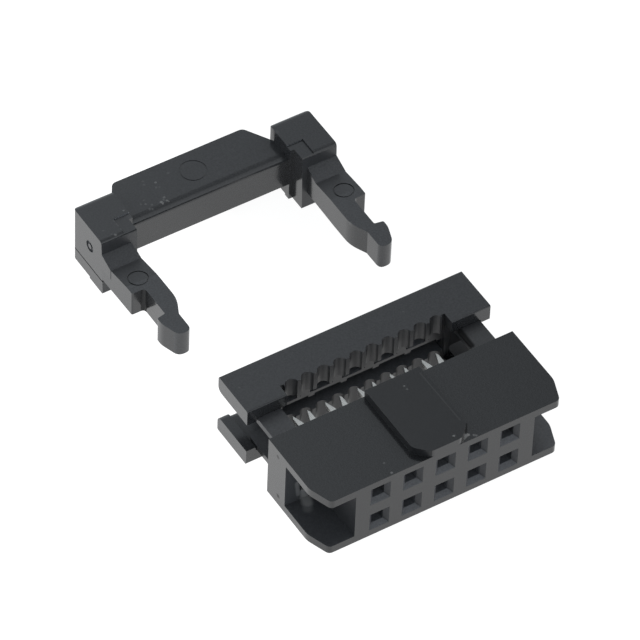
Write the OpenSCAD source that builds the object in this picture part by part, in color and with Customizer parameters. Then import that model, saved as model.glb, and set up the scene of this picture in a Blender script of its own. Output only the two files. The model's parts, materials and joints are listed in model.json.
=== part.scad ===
// Ribbon cable socket with insulation displacement contacts.
// A moulded housing carries two rows of stamped contacts, a cover presses the
// cable on to their forks, and a loose clip relieves the strain on the cable.
// X runs along the pin columns, +Y from the mating face to the cover, +Z up.
// The origin is the middle of the housing's underside.

/* [Pin grid] */
// Spacing of neighbouring pins
pin_pitch = 2.54; // [2.4:0.01:2.8]
// Pin columns along the socket, two pins in each
columns = 5; // [3:1:10]
// Side of a pin hole behind its funnel
hole_side = 0.9; // [0.75:0.01:1.05]
// Side of a funnel's mouth on the mating face
funnel_side = 1.55; // [1.2:0.01:1.8]
// Depth of a funnel
funnel_depth = 0.3; // [0.2:0.01:0.6]

/* [Housing] */
// Thickness of the socket without its key
body_height = 5.2; // [5:0.01:6.5]
// Depth of the housing from mating face to back
housing_depth = 6.8; // [6.4:0.01:8]
// From an outer pin's centre to the end of the contact block
block_margin = 1.92; // [1.7:0.01:2.6]
// Reach of the end flanges past the contact block
flange_reach = 2.6; // [2.5:0.01:3.2]
// Thickness of an end flange
flange_thickness = 0.65; // [0.4:0.01:0.9]
// Length of a flange's cut front corner along the socket
corner_length = 0.65; // [0.2:0.01:1.2]
// Depth of a flange's cut front corner
corner_depth = 1.75; // [0.8:0.01:2.4]
// Width of the end post that a barb of the clip hooks behind
post_width = 1.2; // [0.8:0.01:1.3]
// Depth of the end post
post_depth = 2.2; // [1.4:0.01:2.8]
// Height of the window between block and end post
window_height = 2.2; // [2.1:0.01:2.5]
// Thickness of the wall in front of the contacts
front_wall = 1; // [0.85:0.01:1.3]

/* [Key] */
// Width of the polarising key
key_width = 4.3; // [3:0.01:5]
// Height of the key above the housing
key_height = 0.62; // [0.3:0.01:1.2]
// Size of the key's cut front corners
key_cut = 0.95; // [0.3:0.01:1.4]

/* [Guide tongues] */
// Width of a guide tongue
tongue_width = 1.85; // [1.2:0.01:2]
// Thickness of a guide tongue
tongue_thickness = 0.45; // [0.3:0.01:0.6]
// Room beside a sliding piece
slide_room = 0.05; // [0.03:0.01:0.1]

/* [Contacts] */
// Thickness of the contact sheet
sheet_thickness = 0.25; // [0.15:0.01:0.3]
// Width of a contact between the middles of its two side walls
contact_width = 0.9; // [0.7:0.01:1]
// Length of a contact's side walls
side_wall_length = 1.5; // [1:0.01:1.8]
// Gap between the spring beams where they grip a pin
grip_gap = 0.56; // [0.4:0.01:0.62]
// Width of a cable fork
fork_width = 1.34; // [1:0.01:1.4]
// Length of a cable fork inside the housing
fork_root = 2.2; // [1.6:0.01:2.4]
// Reach of the fork tips behind the housing
fork_reach = 2.27; // [1.8:0.01:2.5]
// Depth of the notch that leads a wire into its slot
notch_depth = 1.3; // [0.6:0.01:1.6]
// Width of the wire slot in a fork
wire_slot = 0.22; // [0.12:0.01:0.35]
// Height of a fork's middle above or below the socket's mid plane
fork_level = 0.65; // [0.6:0.01:0.8]
// Room round a contact in its cavity
contact_room = 0.03; // [0.01:0.01:0.06]

/* [Cover] */
// Gap between the housing and the cover as supplied, open for the cable
cover_gap = 2.7; // [2.4:0.01:3]
// Gap that is left when the cover is pressed home
closed_gap = 0.1; // [0.05:0.01:0.3]
// Depth of the cover
cover_depth = 3.7; // [3.4:0.01:4.5]
// Depth of the recess for the cable behind the cover's front lips
cable_recess = 0.75; // [0.4:0.01:1]
// Room that the cable has at each of its edges
cable_room = 0.15; // [0.12:0.01:0.25]
// Width of the slot at each end of the cable grooves
end_slot = 0.28; // [0.15:0.01:0.35]
// Depth of the slot at each end of the cable grooves
end_slot_depth = 0.2; // [0.1:0.01:0.35]
// Height of the plain face between the upper and the lower cable grooves
plain_height = 1.66; // [1.5:0.01:1.8]
// Room beside a fork in its pocket
pocket_room = 0.1; // [0.06:0.01:0.11]
// Room above and below a fork in its pocket
pocket_rise = 0.2; // [0.1:0.01:0.25]
// Room past the fork tips when the cover is pressed home
tip_room = 0.3; // [0.1:0.01:0.5]
// Thickness of the wall between the upper pockets and the lower slot
pocket_wall = 0.25; // [0.15:0.01:0.4]
// Width of the webs that hang in the lower slot between the columns
web_width = 0.5; // [0.3:0.01:0.7]
// Height of those webs
web_drop = 0.17; // [0.05:0.01:0.25]
// Height of the rib that keeps a guide tongue from moving sideways
rib_height = 0.3; // [0.1:0.01:0.4]

/* [Cable grooves] */
// Radius of a wire groove
groove_radius = 0.5; // [0.35:0.01:0.6]
// Depth of a wire groove in the cover
groove_depth = 0.4; // [0.2:0.01:0.45]
// Depth of a wire groove in the housing's back
seat_depth = 0.2; // [0.05:0.01:0.3]

/* [Strain relief clip] */
// Distance from the socket's end to the clip's side
clip_inset = 0.18; // [0:0.01:0.4]
// Height of the clip's end blocks
clip_height = 4.92; // [4.4:0.01:5.2]
// Height of the bar that lies over the cable
bar_height = 2.9; // [2.6:0.01:3.4]
// Depth of the bar
bar_depth = 3.86; // [3:0.01:4.6]
// Depth of the bar where it meets an end block
bar_side = 2.1; // [1.6:0.01:2.2]
// Length of a cut back corner along the bar
bar_cut = 1.08; // [0.8:0.01:2]
// Sideways place of the bar's back edge between the end blocks
bar_shift = -0.22; // [-0.3:0.01:0.3]
// Bevel along the bar's upper front edge
bar_bevel = 0.35; // [0.1:0.01:0.6]
// Width of an end block
block_width = 3.1; // [2.9:0.01:3.4]
// Depth of an end block behind the bar's front face
block_depth = 2.52; // [2.4:0.01:2.8]
// Reach of an end block in front of the bar's front face
block_front = 1.46; // [1.3:0.01:1.9]
// Outward bow of an end block's back face
back_bow = 0.2; // [0:0.01:0.3]
// Slope of an end block's front and back faces over its height
block_draft = 0.2; // [0:0.01:0.3]
// Height of the blend at the foot of an end block above its arm
blend_height = 0.28; // [0.1:0.01:0.5]
// Reach of that blend along the arm
blend_reach = 1.24; // [0.6:0.01:1.5]
// Dip of an arm's top at the foot of that blend
arm_dip = 0.22; // [0.05:0.01:0.3]
// Length of the slope from the dip up to an arm's full height
dip_run = 2; // [1.2:0.01:2.2]
// Width of the lower ledge at the inner corner of an end block
ledge_width = 1.27; // [0.9:0.01:1.5]
// Drop of the ledge below the block's top
ledge_drop = 0.12; // [0.05:0.01:0.3]
// Depth of the ledge's back edge behind the bar's front face
ledge_back = 0.1; // [0.05:0.01:0.4]
// Width of the step in the inner face of an end block
step_width = 0.3; // [0.1:0.01:0.5]
// Reach of the step in front of the bar
step_front = 0.38; // [0.2:0.01:0.9]
// Height of the parting line on the outside of an end block
parting_height = 1.15; // [0.8:0.01:1.2]
// Width and depth of the parting line
parting_line = 0.1; // [0.04:0.01:0.14]
// Clearance under the back half of an end block
heel_rise = 0.15; // [0:0.01:0.3]
// Room for the folded cable between cover and bar
cable_fold = 2.12; // [1.6:0.01:2.6]
// Length of an arm's neck from its shoulder to its barb
neck_length = 2.67; // [2.3:0.01:3]
// Length of an arm's tip from its barb
tip_length = 2.16; // [2:0.01:3]
// Height of the barb at an arm's tip
barb = 0.68; // [0.4:0.01:0.75]
// Slope of the barb's back face over its height
barb_rake = 0.12; // [0:0.01:0.3]
// Length of the barb's flat outer side
barb_land = 0.7; // [0.4:0.01:0.9]
// Width that the nose loses to its slope
nose_slope = 0.5; // [0.2:0.01:0.7]
// Sideways step from an arm's inner face to its tip
tip_step = 0.48; // [0.3:0.01:0.6]
// Distance from the barb to the corner where the tip's inner face starts
tip_corner = 0.48; // [0.2:0.01:0.8]
// Length of the sloping run up to that corner
tip_run = 1.25; // [0.8:0.01:1.5]
// Inward bow of an arm's inner face
arm_bow = 0.12; // [0:0.01:0.2]
// Narrowing of an arm from its block to its shoulder
arm_taper = 0.07; // [0:0.01:0.3]
// Distance from the cover to the arm tips of the loose clip
clip_apart = 5.88; // [2:0.01:12]
// Sideways place of the loose clip
clip_shift = -0.59; // [-1.5:0.01:1.5]

/* [Moulding marks] */
// Diameter of the ejector mark on an arm
arm_mark = 1.5; // [0.8:0.01:1.7]
// Distance from an arm's shoulder to the middle of its mark
arm_mark_back = 1.1; // [1:0.01:1.6]
// Diameter of the ejector mark on the bar
bar_mark = 2; // [1:0.01:2.4]
// Width of an ejector mark's ring
mark_line = 0.1; // [0.05:0.01:0.2]
// Depth of an ejector mark
mark_depth = 0.07; // [0.03:0.01:0.1]
// Diameter of the gate mark on the clip's left end
gate_mark = 0.9; // [0.5:0.01:1.2]
// Width of the gate mark's ring
gate_line = 0.24; // [0.1:0.01:0.24]
// Depth of the gate mark
gate_depth = 0.12; // [0.05:0.01:0.2]
// Height of the gate mark's middle above the clip's mid plane
gate_rise = 0.7; // [0.5:0.01:0.9]

/* [Hidden] */
$fn = 48;

plastic = "#26282b";
tin = "#d5d6d2";
// Extra length that carries a cut clear of a face
past = 1;
// Reach of the corner roundings
fine_round = 0.12;
corner_round = 0.3;
soft_round = 0.5;
long_round = 0.9;

wire_pitch = pin_pitch / 2;
wires = 2 * columns;
grid_length = (columns - 1) * pin_pitch;
block_half = grid_length / 2 + block_margin;
body_half = block_half + flange_reach;
front_y = -housing_depth / 2;
back_y = housing_depth / 2;
mid_z = body_height / 2;

// The window in an end post, and the guide tongues above and below it
window_low = mid_z - window_height / 2;
window_high = mid_z + window_height / 2;
window_outer = body_half - post_width;
tongue_inner = block_half - slide_room;
tongue_outer = tongue_inner + tongue_width;
tongue_reach = closed_gap + cover_depth;

// Contacts and cavities are drawn for the upper row and turned over for the lower one
pin_level = pin_pitch / 2;
strip_low = fork_level - sheet_thickness / 2;
cavity_high = mid_z - flange_thickness;
cavity_half = (contact_width + sheet_thickness) / 2 + contact_room;
fork_shift = wire_pitch / 2;
fork_back = back_y - fork_root;
side_wall_front = fork_back - side_wall_length;

// The cover's places
cover_front = back_y + cover_gap;
cover_back = cover_front + cover_depth;
cable_face = cover_front + cable_recess;
pocket_end = cover_front + fork_reach - closed_gap + tip_room;
core_half = block_half - 2 * slide_room;
recess_half = wires * wire_pitch / 2 + cable_room;
plain_face = cable_face + groove_depth;
flange_low = window_high + tongue_thickness + slide_room;
pocket_half = sheet_thickness / 2 + pocket_rise;
pocket_width = fork_width + 2 * pocket_room;
slot_half = wire_x(wires) + pocket_width / 2;
slot_high = fork_level - pocket_half - pocket_wall;

// The clip's places, from the front face of its bar
clip_half = body_half - clip_inset;
clip_mid = clip_height / 2;
bar_low = clip_mid - bar_height / 2;
bar_high = clip_mid + bar_height / 2;
block_inner = clip_half - block_width;
ledge_inner = block_inner + ledge_width;
foot_front = block_front + block_draft;
arm_half = window_height / 2 - slide_room;
arm_high = clip_mid + arm_half;
arm_inner = block_half + slide_room;
neck_outer = window_outer - slide_room;
barb_back = post_depth + closed_gap + cover_depth + cable_fold;
arm_length = barb_back + tip_length;
shoulder = barb_back - neck_length;
dip_at = block_front + blend_reach;
dip_end = dip_at + dip_run;
mark_at = shoulder - arm_mark_back;
mark_drop = arm_dip * max(dip_end - mark_at, 0) / dip_run;
clip_y = cover_back + clip_apart + arm_length;

// Place of wire number n along the socket, counted from 1
function wire_x(n) = (n - (wires + 1) / 2) * wire_pitch;

// Place of the pin that wire number n ends in
function pin_x(n) = (floor((n - 1) / 2) - (columns - 1) / 2) * pin_pitch;

// Odd wires end in the upper row of contacts
function is_upper(n) = n % 2 == 1;

// One rounded corner, with its reach limited by the edges that meet there
function turn(before, corner, after, wanted, steps) =
    let (
        reach = min(wanted, norm(before - corner) / 2.2, norm(after - corner) / 2.2),
        start = corner + (before - corner) / norm(before - corner) * reach,
        end = corner + (after - corner) / norm(after - corner) * reach
    )
    [for (i = [0 : steps])
        let (s = i / steps)
        (1 - s) * (1 - s) * start + 2 * s * (1 - s) * corner + s * s * end];

// Outline from rows of [x, y, reach], where reach rounds that corner off
function rounded(rows, steps = 5) =
    let (n = len(rows), points = [for (r = rows) [r[0], r[1]]])
    [for (i = [0 : n - 1])
        each (rows[i][2] > 0
            ? turn(points[(i + n - 1) % n], points[i], points[(i + 1) % n], rows[i][2], steps)
            : [points[i]])];

// Extrudes a side view, drawn in Y and Z, from x = from to x = to
module side_extrude(from, to) {
    translate([from, 0, 0])
        rotate([90, 0, 90])
            linear_extrude(to - from)
                children();
}

// Cuboid between two corners
module span(low, high) {
    translate(low)
        cube(high - low);
}

// The upper row as drawn and the same row turned over to make the lower one
module both_rows() {
    for (turned = [0, 180])
        translate([0, 0, mid_z])
            rotate([0, turned, 0])
                children();
}

// Both ends of the socket, mirrored
module both_ends() {
    for (side = [0, 1])
        mirror([side, 0, 0])
            children();
}

// Both faces of a piece that is mirrored about a mid plane
module both_faces(mid) {
    for (side = [0, 1])
        translate([0, 0, mid])
            mirror([0, 0, side])
                translate([0, 0, -mid])
                    children();
}

// Copies for every pin column
module each_column() {
    for (c = [0 : columns - 1])
        translate([c * pin_pitch - grid_length / 2, 0, 0])
            children();
}

// Row of wire grooves whose middles lie at y = at, from z = low to z = high
module wire_grooves(at, low, high) {
    for (n = [1 : wires])
        translate([wire_x(n), at, low])
            cylinder(r = groove_radius, h = high - low);
}

// Housing

// Plan of the end flanges, with cut front corners
module flange_plan() {
    corner_y = front_y + corner_depth;
    polygon(rounded([
        [-body_half, back_y, fine_round],
        [-body_half, corner_y, corner_round],
        [corner_length - body_half, front_y, corner_round],
        [body_half - corner_length, front_y, corner_round],
        [body_half, corner_y, corner_round],
        [body_half, back_y, fine_round],
    ]));
}

// Plan of the key on top of the housing
module key_plan() {
    half = key_width / 2;
    polygon(rounded([
        [-half, back_y, 0],
        [-half, front_y + key_cut, corner_round],
        [key_cut - half, front_y, corner_round],
        [half - key_cut, front_y, corner_round],
        [half, front_y + key_cut, corner_round],
        [half, back_y, 0],
    ]));
}

// Side view of a funnel, from its mouth to the pin hole
module funnel_view() {
    hole_end = front_y + front_wall + past;
    polygon([
        [front_y - past, -funnel_side / 2],
        [front_y, -funnel_side / 2],
        [front_y + funnel_depth, -hole_side / 2],
        [hole_end, -hole_side / 2],
        [hole_end, hole_side / 2],
        [front_y + funnel_depth, hole_side / 2],
        [front_y, funnel_side / 2],
        [front_y - past, funnel_side / 2],
    ]);
}

// Square funnel and pin hole, where two crossed prisms meet
module pin_entry() {
    intersection() {
        side_extrude(-funnel_side, funnel_side)
            funnel_view();
        rotate([0, 90, 0])
            side_extrude(-funnel_side, funnel_side)
                funnel_view();
    }
}

// Room for one contact of the upper row, open at the back
module contact_cavity() {
    floor_z = strip_low - contact_room;
    fork_half = fork_width / 2 + contact_room;
    translate([0, 0, pin_level])
        pin_entry();
    span(
        [-cavity_half, front_y + front_wall, floor_z],
        [cavity_half, back_y + past, cavity_high]
    );
    span(
        [-fork_shift - fork_half, fork_back - contact_room, floor_z],
        [-fork_shift + fork_half, back_y + past, floor_z + sheet_thickness + 2 * contact_room]
    );
}

// One guide tongue, which the cover slides on
module tongue() {
    translate([0, 0, window_high])
        linear_extrude(tongue_thickness)
            polygon(rounded([
                [tongue_inner, back_y - post_depth, 0],
                [tongue_outer, back_y - post_depth, 0],
                [tongue_outer, back_y + tongue_reach, soft_round],
                [tongue_inner, back_y + tongue_reach, soft_round],
            ]));
}

// Moulded housing with its key, end pockets and guide tongues
module housing() {
    color(plastic)
    difference() {
        union() {
            span([-block_half, front_y, 0], [block_half, back_y, body_height]);
            both_faces(mid_z)
                linear_extrude(flange_thickness)
                    flange_plan();
            both_ends()
                span([block_half - past, back_y - post_depth, 0], [body_half, back_y, body_height]);
            translate([0, 0, mid_z])
                linear_extrude(mid_z + key_height)
                    key_plan();
            both_ends()
                both_faces(mid_z)
                    tongue();
        }
        both_ends()
            span(
                [block_half, back_y - post_depth - past, window_low],
                [window_outer, back_y + past, window_high]
            );
        both_rows()
            each_column()
                contact_cavity();
        wire_grooves(
            back_y + groove_radius - seat_depth,
            flange_thickness,
            body_height - flange_thickness
        );
    }
}

// Contacts

// Flat strip of the contact with its cable fork, seen in plan
module fork_plan() {
    half = fork_width / 2;
    tip = back_y + fork_reach;
    notch = tip - notch_depth;
    strip_end = (fork_back + back_y) / 2;
    tip_bevel = 0.2;
    tip_flat = 0.12;
    difference() {
        union() {
            translate([-contact_width / 2, side_wall_front])
                square([contact_width, strip_end - side_wall_front]);
            translate([-fork_shift, 0])
                polygon([
                    [-half, fork_back],
                    [half, fork_back],
                    [half, tip - tip_bevel],
                    [half - tip_flat, tip],
                    [wire_slot / 2, notch],
                    [-wire_slot / 2, notch],
                    [tip_flat - half, tip],
                    [-half, tip - tip_bevel],
                ]);
        }
        translate([-fork_shift - wire_slot / 2, strip_end + wire_slot])
            square([wire_slot, notch - strip_end]);
    }
}

// Ribbon of sheet along a path of points, seen in plan
module sheet_path(points) {
    for (i = [0 : len(points) - 2]) {
        run = points[i + 1] - points[i];
        translate(points[i])
            rotate(atan2(run[1], run[0]))
                translate([0, -sheet_thickness / 2])
                    square([norm(run), sheet_thickness]);
    }
    for (p = points)
        translate(p)
            circle(d = sheet_thickness, $fn = 24);
}

// One of the two spring beams that grip a pin, seen in plan
module beam_plan() {
    wall = contact_width / 2;
    grip = (grip_gap + sheet_thickness) / 2;
    entry_y = front_y + front_wall + sheet_thickness;
    grip_y = (entry_y + side_wall_front) / 2;
    sheet_path([
        [wall, fork_back],
        [wall, side_wall_front],
        [grip, grip_y],
        [wall, entry_y],
    ]);
}

// Stamped contact of the upper row: fork, side walls and a pair of spring beams
module stamped_contact() {
    beam_low = strip_low + sheet_thickness + contact_room;
    beam_high = cavity_high - 2 * contact_room;
    wall_inner = (contact_width - sheet_thickness) / 2;
    translate([0, 0, strip_low])
        linear_extrude(sheet_thickness)
            fork_plan();
    both_ends() {
        translate([0, 0, beam_low])
            linear_extrude(beam_high - beam_low)
                beam_plan();
        span(
            [wall_inner, side_wall_front, strip_low],
            [wall_inner + sheet_thickness, fork_back, beam_high]
        );
    }
}

// Contact on wire number n, in its place
module contact(n) {
    side = is_upper(n) ? 1 : -1;
    color(tin)
        translate([0, 0, mid_z])
            rotate([0, is_upper(n) ? 0 : 180, 0])
                translate([side * pin_x(n), 0, 0])
                    stamped_contact();
}

// Cover

// Side view of the upper flange at an end of the cover, down to z = low
module cover_flange_view(low) {
    polygon(rounded([
        [cover_front, low, 0],
        [cover_front, body_height, fine_round],
        [cover_back, body_height, fine_round],
        [cover_back, low, soft_round],
    ]));
}

// Side view of the cover's core between its flanges
module cover_core_view() {
    polygon(rounded([
        [cable_face, 0, 0],
        [cable_face, body_height, 0],
        [cover_back, body_height, fine_round],
        [cover_back, 0, fine_round],
    ]));
}

// Cuts in the cover's cable face, drawn from the mid plane
module cable_face_cuts() {
    front = cable_face - cable_recess / 2;
    // Plain face between the upper and the lower grooves
    span([-recess_half, front, -plain_height / 2], [recess_half, plain_face, plain_height / 2]);
    // Pockets for the forks of the upper row
    each_column()
        span(
            [-fork_shift - pocket_width / 2, front, fork_level - pocket_half],
            [-fork_shift + pocket_width / 2, pocket_end, fork_level + pocket_half]
        );
    // Slot for the forks of the lower row, with webs left between its columns
    span(
        [-slot_half, front, -fork_level - pocket_half],
        [slot_half, pocket_end, slot_high - web_drop]
    );
    each_column()
        span(
            [(web_width - pin_pitch) / 2, front, -fork_level],
            [(pin_pitch - web_width) / 2, pocket_end, slot_high]
        );
}

// Moulded cover, which slides on the guide tongues
module cover() {
    rib_inner = tongue_outer + slide_room;
    color(plastic)
    difference() {
        union() {
            side_extrude(-core_half, core_half)
                cover_core_view();
            both_ends()
                both_faces(mid_z) {
                    side_extrude(recess_half, body_half)
                        cover_flange_view(flange_low);
                    side_extrude(rib_inner, body_half)
                        cover_flange_view(flange_low - rib_height);
                }
        }
        wire_grooves(cable_face + groove_depth - groove_radius, -past, body_height + past);
        both_ends()
            span(
                [recess_half - end_slot, cable_face - cable_recess / 2, -past],
                [recess_half, cable_face + end_slot_depth, body_height + past]
            );
        translate([0, 0, mid_z])
            cable_face_cuts();
    }
}

// Strain relief clip

// Plan of the bar, whose cut back corners run into the end blocks
module bar_plan() {
    inside = block_inner + step_width;
    flat = block_inner - bar_cut;
    slope = (bar_depth - bar_side) / bar_cut;
    left_end = bar_depth - slope * (inside - flat + bar_shift);
    right_end = bar_depth - slope * (inside - flat - bar_shift);
    polygon(rounded([
        [-inside, 0, 0],
        [-inside, left_end, 0],
        [bar_shift - flat, bar_depth, corner_round],
        [bar_shift + flat, bar_depth, corner_round],
        [inside, right_end, 0],
        [inside, 0, 0],
    ]));
}

// Side view of an end block
module block_view() {
    polygon(rounded([
        [block_depth - block_draft, 0, corner_round],
        [block_depth, clip_height, soft_round],
        [-block_front, clip_height, corner_round],
        [-foot_front, 0, fine_round],
    ]));
}

// Plan of an end block's full height
module block_plan() {
    polygon(rounded([
        [block_inner, block_depth - back_bow, fine_round],
        [(block_inner + clip_half) / 2, block_depth, long_round],
        [clip_half, block_depth - back_bow, corner_round],
        [clip_half, -foot_front, 0],
        [ledge_inner, -foot_front, 0],
        [ledge_inner, ledge_back, 0],
        [block_inner, ledge_back, 0],
    ]));
}

// Plan of the stepped ledge at an end block's inner corner
module ledge_plan() {
    column_inner = block_inner + step_width;
    inside = (ledge_inner + clip_half) / 2;
    polygon([
        [block_inner, block_depth / 2],
        [inside, block_depth / 2],
        [inside, -foot_front],
        [column_inner, -foot_front],
        [column_inner, -step_front],
        [block_inner, -step_front],
    ]);
}

// Side view of the blend from an end block's front to the top of its arm
module blend_view() {
    polygon([
        [0, clip_mid],
        [0, arm_high + blend_height],
        [-block_front, arm_high + blend_height],
        [-dip_at, arm_high - arm_dip],
        [-dip_at, clip_mid],
    ]);
}

// Side view of what an arm's top loses between the block's foot and the end of the dip
module dip_view() {
    polygon([
        [-block_front, arm_high + blend_height],
        [-dip_at, arm_high - arm_dip],
        [-dip_end, arm_high],
        [-dip_end, arm_high + past],
        [-block_front, arm_high + past],
    ]);
}

// Plan of one arm: shoulder, neck, barb and a rounded tip
module arm_plan() {
    barb_outer = neck_outer + barb;
    tip_inner = arm_inner + tip_step;
    bow_inner = arm_inner - arm_bow;
    polygon(rounded([
        [arm_inner, 0, 0],
        [clip_half, 0, 0],
        [clip_half, -block_front, 0],
        [clip_half - arm_taper, -shoulder, fine_round],
        [neck_outer, -shoulder, corner_round],
        [neck_outer, -barb_back, fine_round],
        [barb_outer, -barb_back - barb_rake, fine_round],
        [barb_outer, -barb_back - barb_land, corner_round],
        [barb_outer - nose_slope, -arm_length, soft_round],
        [tip_inner, -arm_length, soft_round],
        [tip_inner, -barb_back - tip_corner, 0],
        [bow_inner, tip_run - barb_back - tip_corner, long_round],
        [bow_inner, -shoulder, long_round],
    ]));
}

// One end of the clip: block, blend and arm
module clip_end() {
    difference() {
        intersection() {
            side_extrude(block_inner, clip_half)
                block_view();
            union() {
                linear_extrude(clip_height)
                    block_plan();
                linear_extrude(clip_height - ledge_drop)
                    ledge_plan();
            }
        }
        span([block_inner - past, ledge_back, -past], [clip_half + past, block_depth + past, heel_rise]);
        span(
            [clip_half - parting_line, -foot_front - past, parting_height],
            [clip_half + past, block_depth + past, parting_height + parting_line]
        );
    }
    side_extrude(arm_inner, clip_half)
        blend_view();
    difference() {
        translate([0, 0, clip_mid - arm_half])
            linear_extrude(2 * arm_half)
                arm_plan();
        side_extrude(arm_inner - past, clip_half + past)
            dip_view();
    }
}

// Ring that an ejector pin or a gate leaves on a moulded face
module ring_mark(diameter, line) {
    difference() {
        cylinder(d = diameter, h = past);
        translate([0, 0, -past])
            cylinder(d = diameter - 2 * line, h = 3 * past);
    }
}

// Moulded clip that holds the folded cable behind the cover, lying loose
module strain_relief() {
    color(plastic)
    translate([clip_shift, clip_y, 0])
    difference() {
        union() {
            translate([0, 0, bar_low])
                linear_extrude(bar_height)
                    bar_plan();
            both_ends()
                clip_end();
        }
        side_extrude(-block_inner, block_inner)
            polygon([
                [-past, bar_high - bar_bevel - past],
                [-past, bar_high + past],
                [bar_bevel + past, bar_high + past],
            ]);
        both_ends()
            translate([(arm_inner + clip_half) / 2, -mark_at, arm_high - mark_drop])
                rotate([mark_drop > 0 ? -atan(arm_dip / dip_run) : 0, 0, 0])
                    translate([0, 0, -mark_depth])
                        ring_mark(arm_mark, mark_line);
        translate([0, (bar_bevel + bar_depth) / 2, bar_high - mark_depth / 2])
            ring_mark(bar_mark, mark_line);
        translate([gate_depth - clip_half, ledge_back, clip_mid + gate_rise])
            rotate([0, -90, 0])
                ring_mark(gate_mark, gate_line);
    }
}

housing();
cover();
strain_relief();
for (n = [1 : wires])
    contact(n);
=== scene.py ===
"""Dresses a ribbon cable socket and its loose strain relief clip for a studio picture."""
import json
import math

import bmesh
import bpy
from mathutils import Matrix, Vector


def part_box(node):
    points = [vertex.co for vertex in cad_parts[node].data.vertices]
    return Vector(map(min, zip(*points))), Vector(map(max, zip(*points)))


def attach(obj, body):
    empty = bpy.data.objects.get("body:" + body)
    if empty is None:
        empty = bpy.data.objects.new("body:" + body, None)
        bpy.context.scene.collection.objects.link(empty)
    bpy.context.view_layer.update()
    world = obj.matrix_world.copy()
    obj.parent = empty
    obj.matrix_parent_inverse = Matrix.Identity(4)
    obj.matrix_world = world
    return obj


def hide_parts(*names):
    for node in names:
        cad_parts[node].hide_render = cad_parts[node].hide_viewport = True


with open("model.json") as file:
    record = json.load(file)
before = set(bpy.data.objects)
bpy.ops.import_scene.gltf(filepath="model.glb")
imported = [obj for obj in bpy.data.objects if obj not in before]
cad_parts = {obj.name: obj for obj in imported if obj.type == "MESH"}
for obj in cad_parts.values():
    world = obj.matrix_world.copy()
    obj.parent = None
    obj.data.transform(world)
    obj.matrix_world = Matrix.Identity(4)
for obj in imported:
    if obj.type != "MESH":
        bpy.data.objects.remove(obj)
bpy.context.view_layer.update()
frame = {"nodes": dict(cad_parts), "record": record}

bl_info = {
    "name": "Ribbon cable socket",
    "version": (1, 0, 0),
    "blender": (4, 5, 0),
    "location": "View3D > Sidebar > Cable socket",
    "description": "Dresses the mouldings and contacts of a ribbon cable socket",
    "category": "Object",
}

MM = 0.001

# Clean-up and rounding of the CAD meshes
MERGE_GAP = 0.0005 * MM  # corners closer than this become one
NEEDLE_GAP = 0.008 * MM  # corners narrower than this are dissolved, because rounding folds them over
FLAT_ANGLE = math.radians(0.5)  # faces that meet at less than this become one
SHARP_ANGLE = math.radians(25)  # edges that turn by more than this are rounded
SOFT_SEGMENTS = 5
EDGE_SEGMENTS = 2

# Plastic
SHADES = {"housing": 0.66, "cover": 1.12, "strain_relief": 1.0}  # how dark each batch of plastic is
CLOUD_SIZE = 2.5 * MM  # patches with more and less polish
GRAIN_SIZE = 0.12 * MM
GRAIN_DEPTH = 0.012 * MM
GRAIN_STRENGTH = 0.2
GRAIN_TINTS = (0.9, 1.35)  # darkest and palest grain, as shares of the plastic's colour
POLISH_SPREAD = (-0.05, 0.07)  # added to the roughness from patch to patch
POLYESTER_IOR = 1.57
SCUFF_AND_SHEEN_COLOUR = "#8c8c8c"
DARK_MARK_COLOUR = "#161616"
RAGGED_SIZE = 0.09 * MM  # grain of the outlines of spots
RAGGED_SHIFT = 0.16 * MM  # how far that grain moves an outline from end to end
MARK_FADE = (1.15, 0.5)  # shares of a mark's radius where it starts and where it is full

# Tin plate
STREAK_SIZE = (0.06 * MM, 0.6 * MM, 0.06 * MM)
STREAK_POLISH = (0.18, 0.38)  # roughness along and between the streaks
STREAK_SHADE = 0.82

# Studio
FLOOR_HALF = 1.5
FLOOR_DROP = -0.01 * MM  # keeps the board just clear of the undersides
# The board's glow is painted brighter towards the left and back: a painted pool of light that the
# mouldings' left faces mirror
PAINTED_LIGHT_WAY = (-1.0, 0.3, 0.0)  # way in which the board grows brighter
PAINTED_LIGHT_RUN = (6 * MM, 11 * MM)
FLOOR_GLOW = (1.18, 1.37)
FLOOR_SHARE = 0.8  # share of the board's glow, the rest is its lit surface with the shadow
SKY_LEAN = (0.3, -0.1, 0.95)
SKY_LEVELS = ((0.4, 0.8), (0.6, 0.6), (0.74, 0.57), (0.78, 0.5), (0.86, 0.36), (0.98, 0.28))
SKY_TINT = (0.94, 1.0, 1.05)
SKY_SIDES = ((0.1, 0.95), (0.31, 1.75), (0.45, 0.36))  # strength from the left to the right of the room
LAMP_TARGET = (0.0, 0.010, 0.002)
LAMP_SIZE = 0.5
LAMPS = (("softbox_right", (0.5, 0.05, 0.42), 1.6), ("softbox_front", (0.22, -0.48, 0.32), 0.15))
SENSOR_WIDTH = 36.0
CLIP_RANGE = (0.01, 10.0)

COLUMNS = (-5.08, -2.54, 0.0, 2.54, 5.08)  # places of the pin columns along X in millimetres
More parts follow.
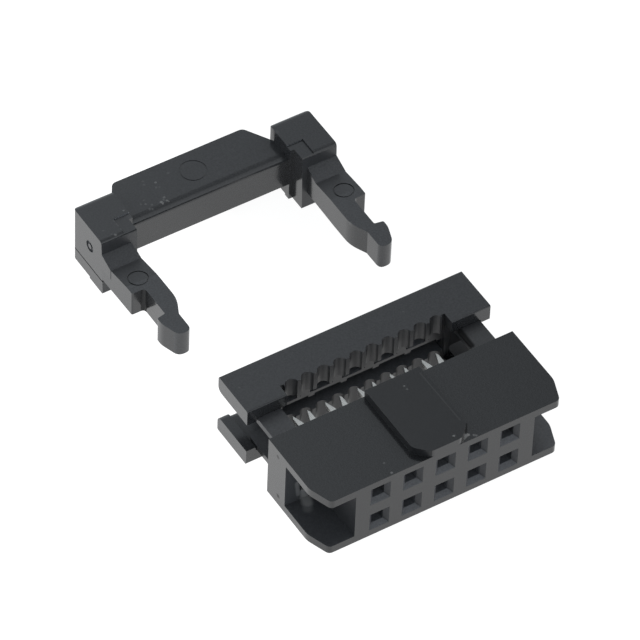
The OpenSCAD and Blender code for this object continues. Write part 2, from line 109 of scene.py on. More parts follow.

# Faces painted lighter or darker than the rest of their moulding, as painted light and painted shade:
# low and high corner of a box in millimetres, then shade, roughness and gloss. A face belongs to the
# last box that its centre lies in.
LIT_AND_SHADED_FACES = {
    "housing": (
        # Pin holes, funnels and the funnels' right faces
        ((-6.3, -2.5, 0.3), (6.3, 3.3, 4.9), 2.5, 0.4, 0.5),
        ((-6.3, -3.39, 0.1), (6.3, -2.5, 5.1), 3.2, 0.42, 0.4),
        *(((x + 0.45, -3.39, 0.1), (x + 0.85, -2.5, 5.1), 1.5, 0.42, 0.25) for x in COLUMNS),
        # Guide tongues
        ((-8.9, 3.45, 3.6), (-6.9, 7.3, 4.3), 1.7, 0.38, 0.5),
        ((-8.9, 3.45, 1.3), (-6.9, 7.3, 1.7), 1.9, 0.4, 0.5),
        ((6.9, 3.45, 1.3), (8.9, 7.3, 1.7), 0.7, 0.4, 0.4),
        ((6.9, 3.45, 3.6), (8.9, 7.3, 4.3), 1.1, 0.38, 0.5),
        # Floor, back wall and inner wall of each end pocket
        ((-9.5, -3.3, 0.5), (-6.9, 1.15, 0.8), 2.0, 0.3, 0.5),
        ((-9.6, 1.1, 0.6), (-6.8, 1.3, 4.7), 2.4, 0.4, 0.5),
        ((-7.05, -3.3, 0.7), (-6.95, 1.15, 4.6), 1.1, 0.4, 0.3),
        ((6.9, -3.3, 0.5), (9.5, 1.15, 0.8), 2.0, 0.3, 0.5),
        ((6.8, 1.1, 0.6), (9.6, 1.3, 4.7), 2.4, 0.4, 0.5),
        ((6.95, -3.3, 0.7), (7.05, 1.15, 4.6), 1.1, 0.4, 0.3),
        # Left flank, left chamfer and top of the key
        ((-2.3, -3.3, 5.25), (-1.2, 1.5, 5.78), 0.7, 0.4, 0.5),
        ((-2.1, -3.35, 5.25), (-0.9, -2.4, 5.78), 0.7, 0.3, 0.15),
        ((-2.2, -3.4, 5.8), (2.2, 3.4, 5.85), 0.5, 0.16, 0.46),
    ),
    "cover": (
        # Cable face, shelf and the recessed floors of the wire grooves
        ((-6.7, 6.0, 0.1), (6.7, 7.5, 5.1), 1.0, 0.38, 0.5),
        ((-6.8, 6.9, 1.4), (6.8, 8.2, 1.75), 3.2, 0.4, 0.5),
        ((-6.8, 7.38, 2.85), (6.8, 8.0, 2.98), 5.0, 0.4, 0.5),
        # Lower flange on the left and slot on the right
        ((-9.7, 6.0, 0.9), (-6.5, 9.9, 1.1), 1.5, 0.3, 0.5),
        ((6.5, 6.0, 0.9), (9.0, 9.9, 1.1), 0.3, 0.5, 0.05),
    ),
    "strain_relief": (
        # Walls of the ledges on the end blocks
        ((-8.4, 24.2, 3.95), (-6.0, 25.9, 4.88), 1.3, 0.4, 0.5),
        ((-8.4, 25.9, 4.7), (-6.0, 26.2, 4.91), 6.0, 0.4, 0.5),
        ((5.0, 25.9, 4.7), (7.1, 26.2, 4.91), 4.0, 0.4, 0.5),
        # Fronts of the end blocks
        ((-10.1, 24.3, 0.5), (-6.5, 24.52, 4.75), 1.5, 0.4, 0.4),
        ((5.3, 24.3, 0.5), (8.9, 24.52, 4.75), 1.5, 0.4, 0.4),
        # Dips at the roots of the arms
        ((-10.1, 21.2, 3.25), (-7.0, 23.3, 3.5), 1.1, 0.34, 0.5),
        ((5.7, 21.2, 3.25), (8.9, 23.3, 3.5), 1.1, 0.34, 0.5),
        # Left end and the gate mark on it
        ((-10.05, 22.0, 0.1), (-9.95, 28.4, 4.9), 1.0, 0.16, 0.43),
        ((-10.0, 25.5, 2.6), (-9.8, 26.6, 3.7), 3.0, 0.4, 0.5),
        # Tops of the arms, corner of the left notch, tips and ramps
        ((-10.1, 14.5, 3.45), (-6.0, 21.3, 3.6), 1.6, 0.2, 0.5),
        ((4.8, 14.5, 3.45), (8.9, 21.3, 3.6), 1.6, 0.2, 0.5),
        ((-9.25, 20.2, 1.0), (-8.9, 20.52, 3.4), 0.5, 0.4, 0.2),
        ((-10.1, 14.3, 0.3), (-7.4, 16.4, 3.45), 1.6, 0.2, 0.5),
        ((5.2, 14.3, 0.3), (8.9, 16.4, 3.45), 1.6, 0.2, 0.5),
        ((-10.1, 23.2, 3.2), (-7.0, 24.4, 4.0), 1.6, 0.2, 0.5),
        ((5.7, 23.2, 3.2), (8.9, 24.4, 4.0), 1.6, 0.2, 0.5),
    ),
}
# Edges with a wide rounding: low and high corner of a box in millimetres, radius
SOFT_EDGES = {
    "strain_relief": (((-7.0, 25.9, 3.5), (6.0, 26.4, 3.95), 0.2),),
}
# Pale marks in millimetres, mostly scuffs, some painted reflection and painted highlight: spots with a
# place, radius and strength, and strokes with two ends
SCUFFS_AND_SHEEN = {
    "strain_relief": (
        (-6.80, 27.95, 4.92, 0.09, 0.20), (-6.82, 27.75, 4.92, 0.09, 0.20),
        (-6.66, 27.72, 4.92, 0.10, 0.32), (-6.60, 27.88, 4.92, 0.07, 0.22),
        (-7.16, 26.37, 4.92, 0.09, 0.30), (-8.78, 24.70, 4.92, 0.12, 0.38),
        (-8.98, 24.86, 4.92, 0.08, 0.14),
        (-8.19, 25.83, 4.92, 0.10, 0.16), (-8.20, 25.52, 4.92, 0.10, 0.14),
        (-8.15, 25.34, 4.92, 0.10, 0.26), (-8.14, 24.95, 4.92, 0.11, 0.22),
        (-9.32, 25.42, 4.92, 0.08, 0.15), (-7.05, 25.85, 4.70, 0.32, 0.06),
        (-3.40, 28.39, 3.91, 0.11, 0.34), (-3.62, 27.95, 3.91, 0.10, 0.18),
        (-3.40, 27.88, 3.91, 0.09, 0.10),
        (-4.10, 28.92, 3.91, 0.09, 0.12), (-4.20, 28.60, 3.91, 0.10, 0.14),
        (-3.62, 26.88, 3.91, 0.12, 0.30), (-3.75, 26.70, 3.91, 0.09, 0.20),
        (-3.62, 26.51, 3.91, 0.11, 0.42), (-3.53, 26.40, 3.91, 0.08, 0.30),
        (-4.02, 26.58, 3.91, 0.12, 0.55), (-3.99, 26.45, 3.91, 0.10, 0.45),
        (-5.05, 26.97, 3.91, 0.10, 0.24), (-5.33, 27.10, 3.91, 0.09, 0.14),
        (-4.72, 26.70, 3.91, 0.10, 0.16),
        (-5.05, 26.42, 3.91, 0.10, 0.22), (-4.86, 26.33, 3.91, 0.10, 0.26),
        (-2.20, 28.73, 3.91, 0.12, 0.12), (-4.95, 27.35, 3.91, 0.10, 0.10),
        (5.83, 27.50, 4.92, 0.16, 0.07), (5.71, 23.95, 4.92, 0.09, 0.22),
        (5.51, 23.62, 4.92, 0.09, 0.18), (6.57, 24.56, 4.92, 0.09, 0.16),
        (6.37, 18.75, 3.40, 0.16, 0.20), (-9.00, 19.05, 3.40, 0.16, 0.16),
    ),
    "housing": (
        (1.84, -2.92, 5.20, 0.16, 0.90), (1.98, -2.93, 5.20, 0.13, 0.95),
        (1.72, -3.00, 5.20, 0.12, 0.70), (1.60, -3.10, 5.20, 0.10, 0.60),
        (0.82, -2.97, 5.82, 0.10, 0.55), (2.30, -3.15, 5.20, 0.11, 0.36),
        (2.42, -3.24, 5.20, 0.10, 0.32), (1.22, -3.40, 5.36, 0.16, 0.14),
        (0.32, 2.41, 5.82, 0.09, 0.35), (0.35, 2.08, 5.82, 0.09, 0.25),
        (-4.16, -3.20, 5.20, 0.11, 0.40), (-4.14, -2.23, 5.20, 0.09, 0.22),
        # Pale streaks on the back wall and floor of the left end pocket: painted reflection
        ((-8.70, 1.20, 2.40), (-8.55, 1.20, 1.20), 0.17, 0.60),
        ((-8.10, 1.20, 1.50), (-8.05, 1.20, 0.80), 0.34, 0.90),
        ((-8.02, 1.05, 0.65), (-8.15, 0.65, 0.65), 0.42, 0.90),
        ((-8.15, 0.65, 0.65), (-8.40, 0.20, 0.65), 0.38, 0.35),
        # Faint pale line along the key's right top edge: painted highlight
        ((1.86, 2.86, 5.82), (1.91, -2.01, 5.82), 0.06, 0.055),
    ),
    "cover": (
        (-9.60, 6.90, 4.62, 0.10, 0.14), (-8.90, 8.30, 5.20, 0.08, 0.10),
        (4.20, 8.60, 5.20, 0.08, 0.08),
    ),
}
# Dull dark marks, given in the same way; the stroke along the right guide tongue is painted shade
DARK_MARKS = {
    "housing": (
        (-9.60, 2.02, 0.84, 0.20, 0.50), (-9.60, 2.19, 4.59, 0.18, 0.40),
        # Dark stroke along the inner top edge of the right guide tongue: painted shade in the gap
        # between housing and cover
        ((7.06, 4.45, 4.15), (7.12, 6.10, 4.15), 0.25, 0.85),
        ((2.38, -2.06, 5.20), (2.00, -2.66, 5.20), 0.10, 0.60),
        (2.20, -2.20, 5.45, 0.14, 0.45), (2.05, -2.60, 5.55, 0.18, 0.55),
        (1.98, -2.92, 5.60, 0.20, 0.60),
    ),
}
CONTACTS = sorted(
    (n for n in frame["nodes"] if n.startswith("contact_")), key=lambda n: int(n.split("_")[1]))


def linear(hex_colour):
    """Linear red, green, blue and alpha of an sRGB hex colour."""
    parts = [int(hex_colour[i:i + 2], 16) / 255 for i in (1, 3, 5)]
    return tuple(p / 12.92 if p <= 0.04045 else ((p + 0.055) / 1.055) ** 2.4 for p in parts) + (1.0,)


def shaded(colour, factor):
    """A linear colour made darker or paler by a factor."""
    return tuple(c * factor for c in colour[:3]) + (1.0,)


def add_node(tree, kind, inputs=None, links=None, **settings):
    """Adds a node with its settings, input values and incoming links."""
    made = tree.nodes.new(kind)
    for key, value in settings.items():
        setattr(made, key, value)
    for key, value in (inputs or {}).items():
        made.inputs[key].default_value = value
    for key, source in (links or {}).items():
        tree.links.new(source, made.inputs[key])
    return made


class MouldingSettings(bpy.types.PropertyGroup):
    """Finish of the black mouldings."""

    edge_radius: bpy.props.FloatProperty(
        name="Edge radius", description="Radius left on the edges of a moulding",
        default=0.035 * MM, min=0.0, unit="LENGTH", precision=6)
    colour: bpy.props.FloatVectorProperty(
        name="Plastic", description="Colour of the glass-filled polyester",
        default=linear("#2b2c2e"), size=4, min=0.0, max=1.0, subtype="COLOR")
    roughness: bpy.props.FloatProperty(
        name="Roughness", description="Roughness of the satin moulded skin",
        default=0.16, min=0.0, max=1.0, subtype="FACTOR")


class ContactSettings(bpy.types.PropertyGroup):
    """Layout and finish of the stamped contacts."""

    pitch: bpy.props.FloatProperty(
        name="Pin pitch", description="Spacing of neighbouring contacts in a row",
        default=2.54 * MM, min=0.0, unit="LENGTH", precision=6)
    edge_radius: bpy.props.FloatProperty(
        name="Edge radius", description="Radius left on the stamped edges",
        default=0.02 * MM, min=0.0, unit="LENGTH", precision=6)
    colour: bpy.props.FloatVectorProperty(
        name="Tin", description="Colour of the tin plate",
        default=linear("#dededb"), size=4, min=0.0, max=1.0, subtype="COLOR")


class StageSettings(bpy.types.PropertyGroup):
    """Camera, floor and light of the studio."""

    azimuth: bpy.props.FloatProperty(
        name="Azimuth", description="Turn of the camera round the socket",
        default=math.radians(-33.62), subtype="ANGLE")
    elevation: bpy.props.FloatProperty(
        name="Elevation", description="Height of the camera above the horizon",
        default=math.radians(47.36), subtype="ANGLE")
    roll: bpy.props.FloatProperty(
        name="Roll", description="Turn of the camera about its own axis",
        default=math.radians(2.5), subtype="ANGLE")
    distance: bpy.props.FloatProperty(
        name="Distance", description="From the camera to the point that it looks at",
        default=414.11 * MM, min=0.0, unit="LENGTH")
    look_at: bpy.props.FloatVectorProperty(
        name="Look at", description="Point in the middle of the picture",
        default=(-1.17 * MM, 10.59 * MM, 5.43 * MM), subtype="TRANSLATION")
    lens: bpy.props.FloatProperty(
        name="Lens", description="Focal length of the camera in millimetres",
        default=346.95, min=1.0)
    floor_colour: bpy.props.FloatVectorProperty(
        name="Floor", description="Colour of the floor",
        default=linear("#f4f4f4"), size=4, min=0.0, max=1.0, subtype="COLOR")


class SocketSettings(bpy.types.PropertyGroup):
    """All settings of the dressed socket."""

    moulding: bpy.props.PointerProperty(type=MouldingSettings)
    contact: bpy.props.PointerProperty(type=ContactSettings)
    stage: bpy.props.PointerProperty(type=StageSettings)


def within(point, low, high):
    """Whether a point in metres lies inside a box in millimetres."""
    return all(a < c / MM < b for a, b, c in zip(low, high, point))


def rounded_copy(node, name, radius):
    """New object with a merged copy of a CAD node's mesh and rounded edges."""
    mesh = frame["nodes"][node].data.copy()
    mesh.name = name
    mesh.materials.clear()
    work = bmesh.new()
    work.from_mesh(mesh)
    bmesh.ops.remove_doubles(work, verts=work.verts, dist=MERGE_GAP)
    bmesh.ops.dissolve_limit(work, angle_limit=FLAT_ANGLE, verts=work.verts, edges=work.edges)
    bmesh.ops.dissolve_degenerate(work, dist=NEEDLE_GAP, edges=work.edges)
    for low, high, wide in SOFT_EDGES.get(node, ()):
        soft = [e for e in work.edges if e.is_convex and e.calc_face_angle(0.0) > SHARP_ANGLE
                and all(within(v.co, low, high) for v in e.verts)]
        bmesh.ops.bevel(work, geom=soft, offset=wide * MM, offset_type="OFFSET",
                        segments=SOFT_SEGMENTS, profile=0.5, affect="EDGES", clamp_overlap=True)
    for face in work.faces:
        face.smooth = True
    for edge in work.edges:
        edge.smooth = edge.calc_face_angle(0.0) < SHARP_ANGLE
    work.to_mesh(mesh)
    work.free()
    made = bpy.data.objects.new(name, mesh)
    bpy.context.scene.collection.objects.link(made)
    bevel = made.modifiers.new("Edge radius", "BEVEL")
    bevel.limit_method = "ANGLE"
    bevel.angle_limit = SHARP_ANGLE
    bevel.width = radius
    bevel.segments = EDGE_SEGMENTS
    bevel.use_clamp_overlap = True
    bevel.harden_normals = True
    flat = made.modifiers.new("Flat faces", "WEIGHTED_NORMAL")
    flat.mode = "FACE_AREA"
    flat.weight = 100
    flat.keep_sharp = True
    return plain_mesh(made)


def plain_mesh(made):
    """Turns the evaluated object into a plain mesh and removes its modifiers."""
    mesh = bpy.data.meshes.new_from_object(
        made.evaluated_get(bpy.context.evaluated_depsgraph_get()))
    old = made.data
    made.modifiers.clear()
    made.data = mesh
    mesh.name = made.name
    bpy.data.meshes.remove(old)
    return made


def stroke_distance(tree, place, start, end):
    """Node with the distance of a place from the line between two points."""
    run = end - start
    offset = add_node(tree, "ShaderNodeVectorMath", {1: start}, {0: place}, operation="SUBTRACT")
    share = add_node(tree, "ShaderNodeVectorMath", {1: run / run.length_squared},
                     {0: offset.outputs["Vector"]}, operation="DOT_PRODUCT")
    held = add_node(tree, "ShaderNodeClamp", links={"Value": share.outputs["Value"]})
    foot = add_node(tree, "ShaderNodeVectorMath", {0: run}, {"Scale": held.outputs["Result"]},
                    operation="SCALE")
    return add_node(tree, "ShaderNodeVectorMath", operation="DISTANCE",
                    links={0: offset.outputs["Vector"], 1: foot.outputs["Vector"]})


def marks_mask(tree, place, marks):
    """Output with the strength at a place of some marks: ragged spots and straight strokes."""
    ragged = add_node(tree, "ShaderNodeTexNoise", {"Scale": 1 / RAGGED_SIZE, "Detail": 2.0},
                      {"Vector": place})
    shift = add_node(tree, "ShaderNodeVectorMath",
                     {1: (RAGGED_SHIFT,) * 3, 2: (-RAGGED_SHIFT / 2,) * 3},
                     {0: ragged.outputs["Color"]}, operation="MULTIPLY_ADD")
    spot = add_node(tree, "ShaderNodeVectorMath", links={0: place, 1: shift.outputs["Vector"]},
                    operation="ADD")
    total = None
    for *ends, radius, strength in marks:
        if len(ends) == 2:
            far = stroke_distance(tree, place, *(Vector(end) * MM for end in ends))
        else:
            far = add_node(tree, "ShaderNodeVectorMath", {1: Vector(ends) * MM},
                           {0: spot.outputs["Vector"]}, operation="DISTANCE")
        first, full = (share * radius * MM for share in MARK_FADE)
        near = add_node(tree, "ShaderNodeMapRange",
                        {"From Min": first, "From Max": full, "To Max": strength},
                        {"Value": far.outputs["Value"]}).outputs["Result"]
        if total:
            near = add_node(tree, "ShaderNodeMath", links={0: total, 1: near},
                            operation="MAXIMUM").outputs["Value"]
        total = near
    return total


def moulded_polyester(name, colour, roughness, scuffs_and_sheen=(), dark_marks=(), gloss=0.5):
    """Glass-filled polyester: a satin black skin with a fine grain and pale and dark marks in places,
    among them scuffs, painted reflection, painted highlight and painted shade.
    """
    material = bpy.data.materials.new(name)
    material.use_nodes = True
    tree = material.node_tree
    tree.nodes.clear()
    place = add_node(tree, "ShaderNodeTexCoord")
    cloud = add_node(tree, "ShaderNodeTexNoise", {"Scale": 1 / CLOUD_SIZE, "Detail": 3.0},
                     {"Vector": place.outputs["Object"]})
    grain = add_node(tree, "ShaderNodeTexNoise", {"Scale": 1 / GRAIN_SIZE, "Detail": 2.0},
                     {"Vector": place.outputs["Object"]})
    mottle = add_node(tree, "ShaderNodeMapRange", {"From Min": 0.3, "From Max": 0.7},
                      {"Value": grain.outputs["Fac"]})
    dark, pale = (shaded(colour, factor) for factor in GRAIN_TINTS)
    tint = add_node(tree, "ShaderNodeMix", {"A": dark, "B": pale},
                    {"Factor": mottle.outputs["Result"]}, data_type="RGBA")
    sleek, dull = (roughness + change for change in POLISH_SPREAD)
    rough = add_node(tree, "ShaderNodeMapRange", {"To Min": sleek, "To Max": dull},
                     {"Value": cloud.outputs["Fac"]})
    bump = add_node(tree, "ShaderNodeBump", {"Strength": GRAIN_STRENGTH, "Distance": GRAIN_DEPTH},
                    {"Height": grain.outputs["Fac"]})
    skin, finish = tint.outputs["Result"], rough.outputs["Result"]
    # Pale marks: scuffs, with painted reflection and painted highlight where listed
    if scuffs_and_sheen:
        scuff_and_sheen_mask = marks_mask(tree, place.outputs["Object"], scuffs_and_sheen)
        skin = add_node(tree, "ShaderNodeMix", {"B": linear(SCUFF_AND_SHEEN_COLOUR)},
                        {"Factor": scuff_and_sheen_mask, "A": skin}, data_type="RGBA").outputs["Result"]
        finish = add_node(tree, "ShaderNodeMath", links={0: scuff_and_sheen_mask, 1: finish},
                          operation="MAXIMUM").outputs["Value"]
    surface = add_node(
        tree, "ShaderNodeBsdfPrincipled", {"IOR": POLYESTER_IOR, "Specular IOR Level": gloss},
        {"Base Color": skin, "Roughness": finish, "Normal": bump.outputs["Normal"]}).outputs["BSDF"]
    # Dark marks, with painted shade in the gap by the right guide tongue
    if dark_marks:
        dark_bsdf = add_node(tree, "ShaderNodeBsdfDiffuse", {"Color": linear(DARK_MARK_COLOUR)})
        dark_mark_mask = marks_mask(tree, place.outputs["Object"], dark_marks)
        surface = add_node(tree, "ShaderNodeMixShader", links={
            0: dark_mark_mask, 1: surface, 2: dark_bsdf.outputs["BSDF"]}).outputs["Shader"]
    add_node(tree, "ShaderNodeOutputMaterial", links={"Surface": surface})
    return material


def tin_plate(name, colour):
    """Bright tin on stamped bronze: a silvery metal with faint streaks from rolling."""
    material = bpy.data.materials.new(name)
    material.use_nodes = True
    tree = material.node_tree
    tree.nodes.clear()
    place = add_node(tree, "ShaderNodeTexCoord")
    streak = add_node(tree, "ShaderNodeMapping", {"Scale": tuple(1 / size for size in STREAK_SIZE)},
                      {"Vector": place.outputs["Object"]})
    lines = add_node(tree, "ShaderNodeTexNoise", {"Scale": 1.0, "Detail": 2.0},
                     {"Vector": streak.outputs["Vector"]})
    sleek, dull = STREAK_POLISH
    rough = add_node(tree, "ShaderNodeMapRange", {"To Min": sleek, "To Max": dull},
                     {"Value": lines.outputs["Fac"]})
    tint = add_node(tree, "ShaderNodeMix", {"A": shaded(colour, STREAK_SHADE), "B": colour},
                    {"Factor": lines.outputs["Fac"]}, data_type="RGBA")
    shader = add_node(tree, "ShaderNodeBsdfPrincipled", {"Metallic": 1.0},
                      {"Base Color": tint.outputs["Result"], "Roughness": rough.outputs["Result"]})
    add_node(tree, "ShaderNodeOutputMaterial", links={"Surface": shader.outputs["BSDF"]})
    return material


def dress_moulding(node, material_name):
    """Puts a rounded, finished moulding in the place of a CAD node, with painted light and painted
    shade on some of its faces.
    """
    settings = bpy.context.scene.cable_socket.moulding
    marks = SCUFFS_AND_SHEEN.get(node, ()), DARK_MARKS.get(node, ())
    made = rounded_copy(node, node + "_moulding", settings.edge_radius)
    made.data.materials.append(moulded_polyester(
        material_name, shaded(settings.colour, SHADES[node]), settings.roughness, *marks))
    # Listed faces get lighter or darker numbered copies of the plastic: painted light and painted shade
    numbers = {}
    for low, high, *finish in LIT_AND_SHADED_FACES[node]:
        shade, roughness, gloss = finish
        number = numbers.setdefault(tuple(finish), len(numbers) + 1)
        if number == len(made.data.materials):
            made.data.materials.append(moulded_polyester(
                f"{material_name}, finish {number}", shaded(settings.colour, shade), roughness,
                *marks, gloss))
        for face in made.data.polygons:
            if within(face.center, low, high):
                face.material_index = number
    bodies = frame["record"]["behaviour"]["bodies"]
    body = next(name for name, members in bodies.items() if node in members)
    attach(made, body)
    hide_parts(node)
    return made


class SOCKET_OT_housing(bpy.types.Operator):
    """Housing with its key, funnels and guide tongues"""

    bl_idname = "cable_socket.housing"
    bl_label = "Housing"

    def execute(self, context):
        dress_moulding("housing", "Glass-filled polyester, housing")
        return {"FINISHED"}


class SOCKET_OT_cover(bpy.types.Operator):
    """Cover that presses the cable on to the forks"""

    bl_idname = "cable_socket.cover"
    bl_label = "Cover"

    def execute(self, context):
        dress_moulding("cover", "Glass-filled polyester, cover")
        return {"FINISHED"}


class SOCKET_OT_clip(bpy.types.Operator):
    """Loose strain relief clip"""

    bl_idname = "cable_socket.clip"
    bl_label = "Strain relief clip"

    def execute(self, context):
        dress_moulding("strain_relief", "Polyester, strain relief clip")
        return {"FINISHED"}


def contact_rows_tree():
    """Geometry nodes that repeat one contact along a row and turn the row over for the other one."""
    tree = bpy.data.node_groups.new("Contact rows", "GeometryNodeTree")
    face = tree.interface
    face.new_socket("Geometry", in_out="INPUT", socket_type="NodeSocketGeometry")
    face.new_socket("Columns", in_out="INPUT", socket_type="NodeSocketInt")
    face.new_socket("Pitch", in_out="INPUT", socket_type="NodeSocketFloat")
    face.new_socket("Height", in_out="INPUT", socket_type="NodeSocketFloat")
    face.new_socket("Material", in_out="INPUT", socket_type="NodeSocketMaterial")
    face.new_socket("Geometry", in_out="OUTPUT", socket_type="NodeSocketGeometry")
    given = add_node(tree, "NodeGroupInput")
    step = add_node(tree, "ShaderNodeCombineXYZ", links={"X": given.outputs["Pitch"]})
    row = add_node(tree, "GeometryNodeMeshLine",
                   links={"Count": given.outputs["Columns"], "Offset": step.outputs["Vector"]})
    upper = add_node(tree, "GeometryNodeInstanceOnPoints",
                     links={"Points": row.outputs["Mesh"], "Instance": given.outputs["Geometry"]})
    lift = add_node(tree, "ShaderNodeCombineXYZ", links={"Z": given.outputs["Height"]})
    lower = add_node(tree, "GeometryNodeTransform", {"Rotation": (0.0, math.pi, 0.0)},
                     {"Geometry": upper.outputs["Instances"], "Translation": lift.outputs["Vector"]})
    rows = add_node(tree, "GeometryNodeJoinGeometry", links={"Geometry": upper.outputs["Instances"]})
    tree.links.new(lower.outputs["Geometry"], rows.inputs["Geometry"])
    real = add_node(tree, "GeometryNodeRealizeInstances", links={"Geometry": rows.outputs["Geometry"]})
    dressed = add_node(tree, "GeometryNodeSetMaterial", links={
        "Geometry": real.outputs["Geometry"], "Material": given.outputs["Material"]})
    add_node(tree, "NodeGroupOutput", links={"Geometry": dressed.outputs["Geometry"]})
    return tree


class SOCKET_OT_contacts(bpy.types.Operator):
    """Two rows of stamped contacts"""

    bl_idname = "cable_socket.contacts"
    bl_label = "Contacts"

    def execute(self, context):
        settings = context.scene.cable_socket.contact
        made = rounded_copy(CONTACTS[0], "contact_rows", settings.edge_radius)
        tree = contact_rows_tree()
        rows = made.modifiers.new("Contact rows", "NODES")
        rows.node_group = tree
        low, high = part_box("cover")
        values = {
            "Columns": len(CONTACTS) // 2,
            "Pitch": settings.pitch,
            "Height": low.z + high.z,
            "Material": tin_plate("Tin plate on phosphor bronze", tuple(settings.colour)),
        }
        for item in tree.interface.items_tree:
            if item.in_out == "INPUT" and item.name in values:
                rows[item.identifier] = values[item.name]
        plain_mesh(made)
        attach(made, "housing")
        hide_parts(*CONTACTS)
        return {"FINISHED"}


def studio_floor(name, colour):
    """Matt white board that keeps a faint shadow and mirrors as white in the mouldings, with a glow
    painted brighter towards the left: a painted pool of light.
    """
    material = bpy.data.materials.new(name)
    material.use_nodes = True
    tree = material.node_tree
    tree.nodes.clear()
    board = add_node(tree, "ShaderNodeBsdfDiffuse", {"Color": colour})
    place = add_node(tree, "ShaderNodeTexCoord")
    # Glow painted brighter towards the left and back: a painted pool of light
    side = add_node(tree, "ShaderNodeVectorMath", {1: PAINTED_LIGHT_WAY}, {0: place.outputs["Object"]},
                    operation="DOT_PRODUCT")
    level = add_node(tree, "ShaderNodeMapRange",
                     {"From Min": PAINTED_LIGHT_RUN[0], "From Max": PAINTED_LIGHT_RUN[1],
                      "To Min": FLOOR_GLOW[0], "To Max": FLOOR_GLOW[1]},
                     {"Value": side.outputs["Value"]})
    glow = add_node(tree, "ShaderNodeEmission", {"Color": (1.0, 1.0, 1.0, 1.0)},
                    {"Strength": level.outputs["Result"]})
    path = add_node(tree, "ShaderNodeLightPath")
    seen = add_node(tree, "ShaderNodeMath", operation="MAXIMUM",
                    links={0: path.outputs["Is Camera Ray"], 1: path.outputs["Is Glossy Ray"]})
    share = add_node(tree, "ShaderNodeMath", {1: FLOOR_SHARE}, {0: seen.outputs["Value"]},
                     operation="MULTIPLY")
    mixed = add_node(tree, "ShaderNodeMixShader", links={
        0: share.outputs["Value"], 1: board.outputs["BSDF"], 2: glow.outputs["Emission"]})
    add_node(tree, "ShaderNodeOutputMaterial", links={"Surface": mixed.outputs["Shader"]})
    return material


def soft_lamp(name, place, target, size, power):
    """Square softbox at a place, turned to a target."""
    lamp = bpy.data.lights.new(name, "AREA")
    lamp.size = size
    lamp.energy = power
    made = bpy.data.objects.new(name, lamp)
    bpy.context.scene.collection.objects.link(made)
    made.location = place
    made.rotation_euler = (Vector(target) - Vector(place)).to_track_quat("-Z", "Y").to_euler()
    return made


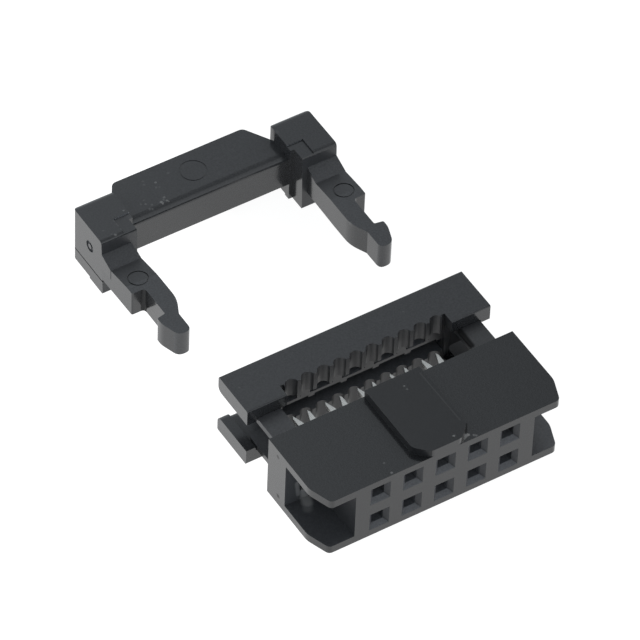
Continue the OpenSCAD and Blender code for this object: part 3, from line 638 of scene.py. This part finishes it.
class SOCKET_OT_stage(bpy.types.Operator):
    """Floor, light and camera of the studio"""

    bl_idname = "cable_socket.stage"
    bl_label = "Studio"

    def execute(self, context):
        settings = context.scene.cable_socket.stage
        scene = context.scene
        scene.view_settings.view_transform = "Standard"
        self.floor(settings)
        self.light(scene)
        self.camera(scene, settings)
        return {"FINISHED"}

    def floor(self, settings):
        mesh = bpy.data.meshes.new("floor")
        ways = ((-1, -1), (1, -1), (1, 1), (-1, 1))
        mesh.from_pydata([(x * FLOOR_HALF, y * FLOOR_HALF, FLOOR_DROP) for x, y in ways],
                         [], [(0, 1, 2, 3)])
        mesh.materials.append(studio_floor("White board", tuple(settings.floor_colour)))
        floor = bpy.data.objects.new("floor", mesh)
        bpy.context.scene.collection.objects.link(floor)

    def light(self, scene):
        world = bpy.data.worlds.new("Studio")
        scene.world = world
        world.use_nodes = True
        tree = world.node_tree
        tree.nodes.clear()
        way = add_node(tree, "ShaderNodeTexCoord")
        lean = add_node(tree, "ShaderNodeVectorMath", {1: SKY_LEAN},
                        {0: way.outputs["Generated"]}, operation="DOT_PRODUCT")
        ramp = add_node(tree, "ShaderNodeValToRGB", links={"Fac": lean.outputs["Value"]})
        for place, level in SKY_LEVELS:
            stop = ramp.color_ramp.elements.new(place)
            stop.color = tuple(level * tint for tint in SKY_TINT) + (1.0,)
        ramp.color_ramp.elements.remove(ramp.color_ramp.elements[0])
        ramp.color_ramp.elements.remove(ramp.color_ramp.elements[-1])
        split = add_node(tree, "ShaderNodeSeparateXYZ", links={"Vector": way.outputs["Generated"]})
        rising, falling = (
            add_node(tree, "ShaderNodeMapRange",
                     {"From Min": start, "From Max": stop, "To Min": low, "To Max": high},
                     {"Value": split.outputs["X"]})
            for (start, low), (stop, high) in zip(SKY_SIDES, SKY_SIDES[1:]))
        side = add_node(tree, "ShaderNodeMath", operation="MINIMUM",
                        links={0: rising.outputs["Result"], 1: falling.outputs["Result"]})
        sky = add_node(tree, "ShaderNodeBackground",
                       links={"Color": ramp.outputs["Color"], "Strength": side.outputs["Value"]})
        add_node(tree, "ShaderNodeOutputWorld", links={"Surface": sky.outputs["Background"]})
        for name, place, power in LAMPS:
            soft_lamp(name, place, LAMP_TARGET, LAMP_SIZE, power)

    def camera(self, scene, settings):
        turn, lift, roll = settings.azimuth, settings.elevation, settings.roll
        level = math.cos(lift)
        back = Vector((math.sin(turn) * level, -math.cos(turn) * level, math.sin(lift)))
        right = (-back).cross(Vector((0, 0, 1))).normalized()
        up = right.cross(-back)
        across = math.cos(roll) * right + math.sin(roll) * up
        along = math.cos(roll) * up - math.sin(roll) * right
        data = bpy.data.cameras.new("camera")
        data.lens = settings.lens
        data.sensor_width = SENSOR_WIDTH
        data.clip_start, data.clip_end = CLIP_RANGE
        camera = bpy.data.objects.new("camera", data)
        scene.collection.objects.link(camera)
        turned = Matrix((across, along, back)).transposed().to_4x4()
        turned.translation = Vector(settings.look_at) + back * settings.distance
        camera.matrix_world = turned
        scene.camera = camera


class SOCKET_PT_panel(bpy.types.Panel):
    """Lists the pieces of the dressed socket"""

    bl_idname = "SOCKET_PT_panel"
    bl_label = "Cable socket"
    bl_space_type = "VIEW_3D"
    bl_region_type = "UI"
    bl_category = "Cable socket"

    def draw(self, context):
        for operator in OPERATORS:
            self.layout.operator(operator.bl_idname)
        settings = context.scene.cable_socket
        for group in (settings.moulding, settings.contact, settings.stage):
            box = self.layout.box()
            for key in type(group).__annotations__:
                box.prop(group, key)


OPERATORS = (
    SOCKET_OT_housing, SOCKET_OT_cover, SOCKET_OT_clip, SOCKET_OT_contacts, SOCKET_OT_stage)
CLASSES = (
    MouldingSettings, ContactSettings, StageSettings, SocketSettings, *OPERATORS, SOCKET_PT_panel)


def register():
    for item in CLASSES:
        bpy.utils.register_class(item)
    bpy.types.Scene.cable_socket = bpy.props.PointerProperty(type=SocketSettings)


def unregister():
    del bpy.types.Scene.cable_socket
    for item in reversed(CLASSES):
        bpy.utils.unregister_class(item)


def main():
    register()
    bpy.ops.cable_socket.housing()
    bpy.ops.cable_socket.cover()
    bpy.ops.cable_socket.clip()
    bpy.ops.cable_socket.contacts()
    bpy.ops.cable_socket.stage()


if __name__ == "__main__":
    main()
